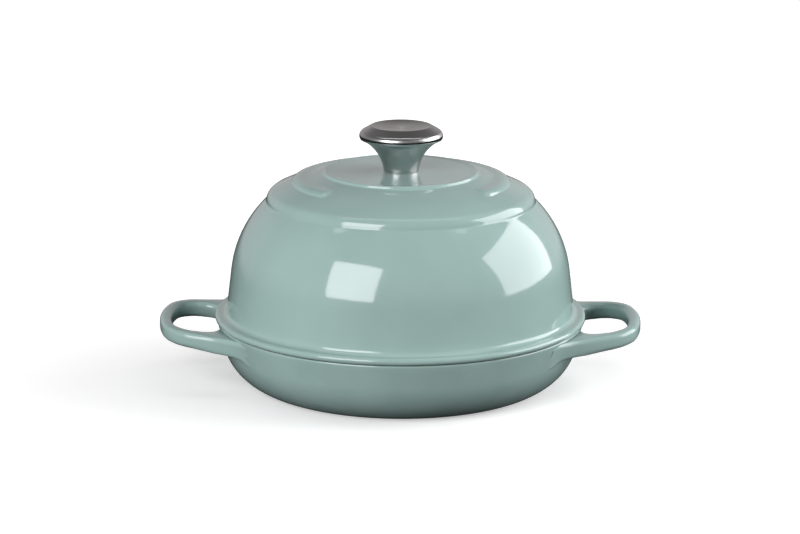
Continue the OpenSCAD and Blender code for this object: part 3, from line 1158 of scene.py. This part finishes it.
@dataclass
class Knob:
    """Flared steel knob of two shells, with its fastening."""

    finishes: Finishes
    disc: float = 148.6
    foot_r: float = 11.7
    flare_r: float = 28.6
    flare_drop: float = 3.3
    stem_h: float = 22
    knob_r: float = 28.7
    side_r: float = 4.2
    cap_z: float = 24.6
    slope: float = 30
    rim_r: float = 20.2
    edge_r: float = 2
    dish_d: float = 2.2
    shell: float = 1.3
    bevel: float = 0.3
    seam_w: float = 0.12
    seam_h: float = 0.14
    stem_lip_w: float = 0.7
    bore_step: float = 0.2
    cap_lip_w: float = 0.5
    cap_foot_w: float = 1.9
    dish_inset: float = 1.2
    sharp_above: float = 35
    segments: int = 160

    def __post_init__(self) -> None:
        """Work out the places that stem and cap share."""
        self.flare_c = (self.foot_r + self.flare_r, self.disc - self.flare_drop)
        self.cap_foot = self.disc + self.stem_h

    def flare(self, radius: float, height: float) -> float:
        """Return the direction from the flare's centre to its arc at a height."""
        return 180 - math.degrees(math.asin((height - self.flare_c[1]) / radius))

    def stem(self) -> bpy.types.Object:
        """Draw the flared stem as a shell with bevelled ends.

        Returns:
            The stem.
        """
        c, foot, top = self.flare_c, self.disc, self.cap_foot
        outer_r, inner_r = self.flare_r, self.flare_r + self.shell
        outer = arc_points(c, outer_r, self.flare(outer_r, foot), self.flare(outer_r, top), 40)
        bore = arc_points(c, inner_r, self.flare(inner_r, top), self.flare(inner_r, foot), 24)
        pen = Pen("knob_stem_shell", bore[-1])
        pen.line((outer[0][0] - self.bevel, foot)).line((outer[0][0] + 0.02, foot + self.bevel))
        pen.through(outer[1:-1]).line((outer[-1][0] - self.bevel, top - self.seam_w))
        pen.line((outer[-1][0] - self.stem_lip_w, top)).line((bore[0][0] + self.bore_step, top))
        pen.through(bore)
        return pen.close().turn(self.segments, self.sharp_above)

    def cap(self) -> bpy.types.Object:
        """Draw the dished cap as a shell.

        Returns:
            The cap.
        """
        c = (self.knob_r - self.side_r, self.disc + self.cap_z)
        upright = 90 - self.slope
        out = heading(upright)
        drop = (c[0] - self.rim_r) * out[0] + c[1] * out[1] + self.side_r - self.edge_r
        rim = (self.rim_r, drop / out[1])
        dish_r = (self.rim_r**2 + self.dish_d**2) / (2 * self.dish_d)
        dish_c = (0.0, rim[1] + self.edge_r - self.dish_d + dish_r)
        low = math.degrees(math.asin((self.cap_foot - c[1]) / self.side_r))
        start = along(c, heading(low), self.side_r)
        pen = Pen("knob_cap_shell", (start[0] - self.cap_foot_w, self.cap_foot))
        pen.line((start[0] - self.cap_lip_w, self.cap_foot))
        pen.line((start[0] - self.seam_w, self.cap_foot + self.seam_h))
        pen.line(along(c, heading(low + 6), self.side_r)).arc(c, upright - low - 6, 20)
        pen.line(along(rim, out, self.edge_r), 4).arc(rim, self.slope + 8, 9)
        first = angle_of(dish_c, (self.rim_r - self.dish_inset, rim[1] + self.edge_r))
        pen.through(arc_points(dish_c, dish_r, first, -90, 30))
        pen.line((0, pen.at[1] - self.shell))
        pen.through(arc_points(dish_c, dish_r + self.shell, -90, first, 14)[1:])
        pen.through(arc_points(rim, self.edge_r - self.shell, 80, upright, 3))
        pen.through(arc_points(c, self.side_r - self.shell, upright, -62, 12))
        return pen.close().turn(self.segments, self.sharp_above)

    def build(self) -> list[bpy.types.Object]:
        """Build and dress the knob and its fastening.

        Returns:
            The pieces.
        """
        shells = []
        for shell, node in ((self.stem(), "knob_stem"), (self.cap(), "knob_cap")):
            dress(shell, self.finishes.knob)
            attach(shell, Body.LID.value)
            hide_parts(node)
            shells.append(shell)
        for node in ("knob_insert", "knob_screw", "flat_washer", "spring_washer"):
            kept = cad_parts[node]
            kept.data.materials.clear()
            kept.data.materials.append(self.finishes.plated)
            shells.append(kept)
        return shells


# Studio


def facing(
    aim: Sequence[float], azimuth: float, elevation: float, distance: float, roll: float = 0.0
) -> Matrix:
    """Place a light or camera that looks at a point.

    Args:
        aim: The point, in metres.
        azimuth: Direction from the point in degrees, from the front towards the right.
        elevation: Height of that direction over the horizon in degrees.
        distance: Distance from the point in metres.
        roll: Turn round the line of sight in degrees.

    Returns:
        The place as a matrix.
    """
    a, e = math.radians(azimuth), math.radians(elevation)
    out = Vector((math.sin(a) * math.cos(e), -math.cos(a) * math.cos(e), math.sin(e)))
    turn = out.to_track_quat("Z", "Y").to_matrix().to_4x4()
    place = Matrix.Translation(Vector(aim) + out * distance)
    return place @ turn @ Matrix.Rotation(math.radians(roll), 4, "Z")


@dataclass(frozen=True)
class Softbox:
    """A rectangular softbox that faces the object, in degrees, metres and watts."""

    name: str
    azimuth: float
    elevation: float
    distance: float
    size: tuple[float, float]
    power: float
    mirrored: bool = True
    aim: tuple[float, float, float] = (0.0, 0.0, 0.09)

    def hang(self) -> bpy.types.Object:
        """Hang the light in its place.

        Returns:
            The light.
        """
        light = bpy.data.lights.new(self.name, "AREA")
        light.shape = "RECTANGLE"
        light.size, light.size_y = self.size
        light.energy = self.power
        lamp = bpy.data.objects.new(self.name, light)
        lamp.visible_glossy = self.mirrored
        bpy.context.scene.collection.objects.link(lamp)
        lamp.matrix_world = facing(self.aim, self.azimuth, self.elevation, self.distance)
        return lamp


@dataclass
class Studio:
    """Pale floor, softboxes and the camera.

    The floor's painted glow goes from one strength to another over a reach in metres from the middle.
    The room's light in front and behind is given by stops, each the sine of an elevation and a grey.
    """

    distance: float = 2.259
    elevation: float = 13.94
    focal_px: float = 3274
    photo_w_px: float = 800
    sensor: float = 36
    roll: float = 0.3
    aim: tuple[float, float, float] = (0.0, 0.0, 0.0805)
    offset_px: float = 0.5
    boxes: tuple[Softbox, ...] = (
        Softbox("softbox_left", -33, 22, 1.7, (1.0, 1.02), 19),
        Softbox("softbox_right", 98, 20, 1.7, (1.7, 1.2), 27),
        Softbox("strip_above", 0, 88, 1.9, (2.4, 0.3), 4),
        Softbox("low_left_fill", -48, 6, 2.0, (1.6, 0.8), 16, mirrored=False),
        Softbox("right_fill", 84, 10, 2.0, (1.4, 0.8), 19, mirrored=False),
    )
    front_light: tuple[Flat, ...] = ((-0.15, 0.0), (0.03, 0.24), (0.3, 0.24), (1.0, 0.12))
    back_light: tuple[Flat, ...] = ((-0.12, 0.02), (-0.02, 0.5), (0.30, 0.5), (0.55, 0.2), (1.0, 0.12))
    back_tint: Colour = (1, 0.94, 0.95)
    behind: tuple[float, float] = (0.3, 0.85)
    floor_size: float = 12
    # Painted light: the floor's glow strengths, near the middle and far out, and the reach between
    # them.
    floor_glow: tuple[float, float] = (0.34, 0.68)
    floor_glow_reach: tuple[float, float] = (0.13, 0.6)

    def floor(self) -> bpy.types.Object:
        """Lay the plain pale floor, with a painted glow that is weaker near the object.

        Returns:
            The floor.
        """
        deselect()
        bpy.ops.mesh.primitive_plane_add(size=self.floor_size)
        ground = bpy.context.object
        ground.name = "floor"
        sheet = NodeSheet("pale_floor")
        sheet.set(Base_Color=(0.86, 0.86, 0.86, 1), Roughness=0.9, Specular_IOR_Level=0.1)
        sheet.set(Emission_Color=(1, 1, 1, 1))
        # Painted light: the floor glows weaker near the middle, so the lamps' shadow shows, and
        # stronger further out, where the lamps fall off.
        reach = sheet.nodes.new("ShaderNodeVectorMath")
        reach.operation = "LENGTH"
        sheet.links.new(sheet.place, reach.inputs[0])
        glow = sheet.span(reach.outputs["Value"], *self.floor_glow, *self.floor_glow_reach)
        sheet.feed("Emission Strength", glow)
        ground.data.materials.append(sheet.material)
        ground.visible_glossy = False
        ground.visible_diffuse = False
        return ground

    def sky(self) -> None:
        """Set a pale room that is brighter behind the object, and show it white to the camera."""
        world = bpy.data.worlds.new("room")
        bpy.context.scene.world = world
        world.use_nodes = True
        nodes, links = world.node_tree.nodes, world.node_tree.links
        split = nodes.new("ShaderNodeSeparateXYZ")
        links.new(nodes.new("ShaderNodeTexCoord").outputs["Generated"], split.inputs[0])

        def brightness(stops: Sequence[Flat], tint: Colour) -> Socket:
            height = nodes.new("ShaderNodeMapRange")
            height.inputs["From Min"].default_value = -1.0
            links.new(split.outputs[2], height.inputs["Value"])
            ramp = nodes.new("ShaderNodeValToRGB")
            links.new(height.outputs["Result"], ramp.inputs["Fac"])
            elements = ramp.color_ramp.elements
            while len(elements) < len(stops):
                elements.new(0.5)
            for element, (sine, grey) in zip(elements, stops):
                element.position = (sine + 1) / 2
                element.color = (*(grey * share for share in tint), 1)
            return ramp.outputs["Color"]

        behind = nodes.new("ShaderNodeMapRange")
        behind.interpolation_type = "SMOOTHSTEP"
        behind.inputs["From Min"].default_value, behind.inputs["From Max"].default_value = self.behind
        links.new(split.outputs[1], behind.inputs["Value"])
        room = nodes.new("ShaderNodeMix")
        room.data_type = "RGBA"
        links.new(behind.outputs["Result"], room.inputs["Factor"])
        links.new(brightness(self.front_light, (1, 1, 1)), room.inputs[6])
        links.new(brightness(self.back_light, self.back_tint), room.inputs[7])
        back = nodes["Background"]
        links.new(room.outputs[2], back.inputs["Color"])
        white = nodes.new("ShaderNodeBackground")
        white.inputs["Color"].default_value = (1, 1, 1, 1)
        mix = nodes.new("ShaderNodeMixShader")
        links.new(nodes.new("ShaderNodeLightPath").outputs["Is Camera Ray"], mix.inputs[0])
        links.new(back.outputs[0], mix.inputs[1])
        links.new(white.outputs[0], mix.inputs[2])
        links.new(mix.outputs[0], nodes["World Output"].inputs["Surface"])

    def camera(self) -> bpy.types.Object:
        """Put the camera at the photograph's angle.

        Returns:
            The camera.
        """
        lens = bpy.data.cameras.new("camera")
        lens.sensor_width = self.sensor
        lens.lens = self.focal_px / self.photo_w_px * self.sensor
        lens.shift_x = -self.offset_px / self.photo_w_px
        lens.dof.use_dof = False
        camera = bpy.data.objects.new("camera", lens)
        bpy.context.scene.collection.objects.link(camera)
        camera.matrix_world = facing(self.aim, 0, self.elevation, self.distance, self.roll)
        bpy.context.scene.camera = camera
        return camera

    def build(self) -> None:
        """Set up room, floor, lights and camera."""
        scene = bpy.context.scene
        scene.view_settings.view_transform = "Standard"
        scene.view_settings.look = "None"
        self.sky()
        self.floor()
        for box in self.boxes:
            box.hang()
        self.camera()


def main() -> None:
    """Build every piece in order and set up the studio."""
    logging.basicConfig(level=logging.INFO, format="%(name)s: %(message)s")
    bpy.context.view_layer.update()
    finishes = Finishes()
    for part in (Pan(finishes), Lid(finishes), Knob(finishes)):
        built = part.build()
        for piece in built if isinstance(built, list) else [built]:
            log.info("%s has %d faces", piece.name, len(piece.data.polygons))
    Studio().build()
    bpy.context.view_layer.update()


if __name__ == "__main__":
    main()
